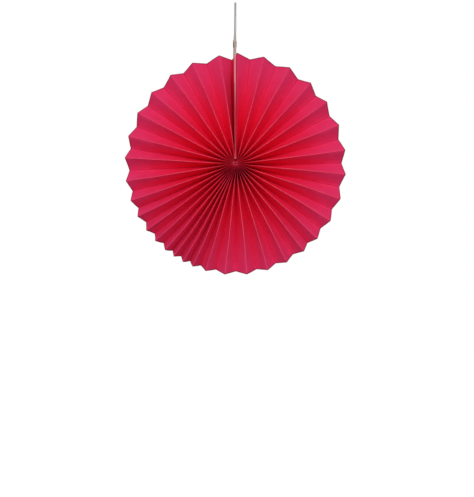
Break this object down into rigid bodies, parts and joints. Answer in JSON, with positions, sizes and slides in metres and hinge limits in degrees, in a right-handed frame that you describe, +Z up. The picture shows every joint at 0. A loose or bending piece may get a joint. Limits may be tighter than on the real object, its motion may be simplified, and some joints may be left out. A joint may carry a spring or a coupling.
{
  "type": "paper fan rosette",
  "caption": "Hanging pleated paper fan opened to a full circle, closed along two taped greyboard strips, gathered by a thread at its centre and hung by a knotted loop of string.",
  "frame": {"origin": "the inside of the top of the string's loop, where the hook that carries the fan bears", "axes": "+Z up, -Y towards the side that shows the front folds, +X to the viewer's right; the fan's disc stands in the XZ plane"},
  "size_m": [0.4023, 0.0308, 0.4983],
  "materials": {
    "crimson_paper": "uncoated paper, dyed crimson through and through",
    "greyboard": "uncoated greyboard, cut edges",
    "adhesive_tape": "milky double-sided tape",
    "cotton_thread": "twisted sewing thread",
    "cotton_string": "twisted taupe cotton string"
  },
  "bodies": {
    "root": {"pleated_paper": "crimson_paper", "end_strip_left": "greyboard", "end_strip_right": "greyboard", "adhesive_tape": "adhesive_tape", "binding_thread": "cotton_thread", "hanging_string": "cotton_string", "string_knot": "cotton_string"}
  },
  "joints": []
}
